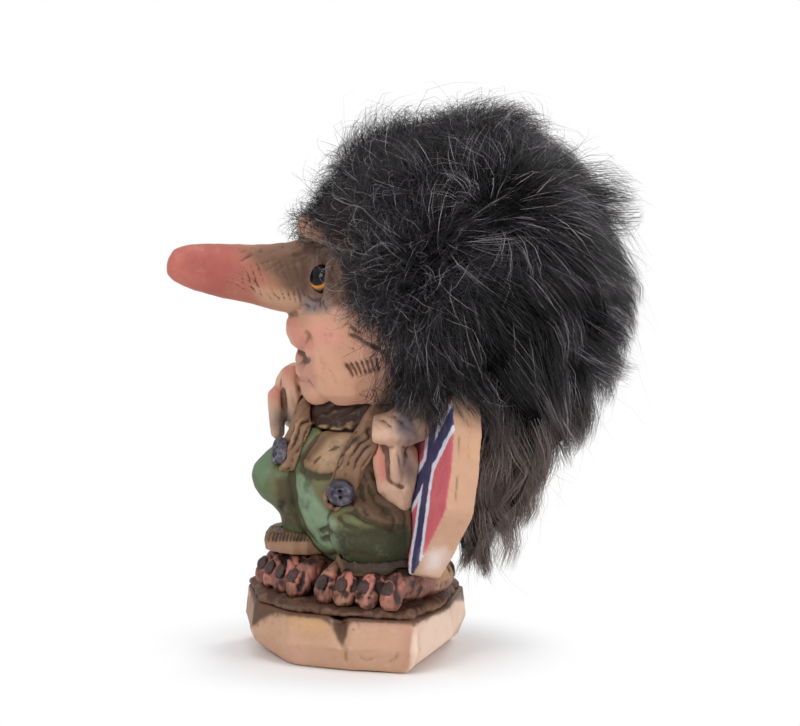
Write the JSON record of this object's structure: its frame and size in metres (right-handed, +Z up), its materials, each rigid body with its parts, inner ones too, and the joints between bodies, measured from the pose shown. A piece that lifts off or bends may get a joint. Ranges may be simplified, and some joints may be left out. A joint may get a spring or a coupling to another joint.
{
  "type": "troll figure",
  "caption": "Hand-painted cast troll figure with a long nose, glass eyes, bare feet and a black fur wig, holding a flag board on a cut block.",
  "frame": {"origin": "centre of the cut block's flat underside, which stands on the floor", "axes": "+Z up; the head and the nose look along -Y; the troll's left side, with the flag board, is towards +X"},
  "size_m": [0.0909, 0.1321, 0.1515],
  "materials": {
    "cut_block": "matte",
    "dark_ground": "matte",
    "weathered_skin": "matte",
    "toenail": "satin",
    "green_trousers": "matte",
    "ribbed_hem": "matte",
    "brown_shirt": "matte",
    "brace": "matte",
    "button": "satin",
    "skin": "matte",
    "nose_skin": "satin",
    "eye_glass": "gloss",
    "painted_board": "matte",
    "black_fur": "matte"
  },
  "bodies": {
    "root": {"base_block": "cut_block", "ground_crust": "dark_ground", "right_foot": "weathered_skin", "left_foot": "weathered_skin", "right_toenails": "toenail", "left_toenails": "toenail", "trouser_seat": "green_trousers", "right_trouser_leg": "green_trousers", "left_trouser_leg": "green_trousers", "right_hem": "ribbed_hem", "left_hem": "ribbed_hem", "shirt": "brown_shirt", "right_brace": "brace", "left_brace": "brace", "right_brace_button": "button", "left_brace_button": "button", "right_arm": "skin", "left_arm": "skin", "right_hand": "skin", "left_hand": "skin", "head": "skin", "jaw": "skin", "nose": "nose_skin", "right_eye": "eye_glass", "left_eye": "eye_glass", "right_brow": "skin", "left_brow": "skin", "flag_board": "painted_board", "wig": "black_fur"}
  },
  "joints": []
}
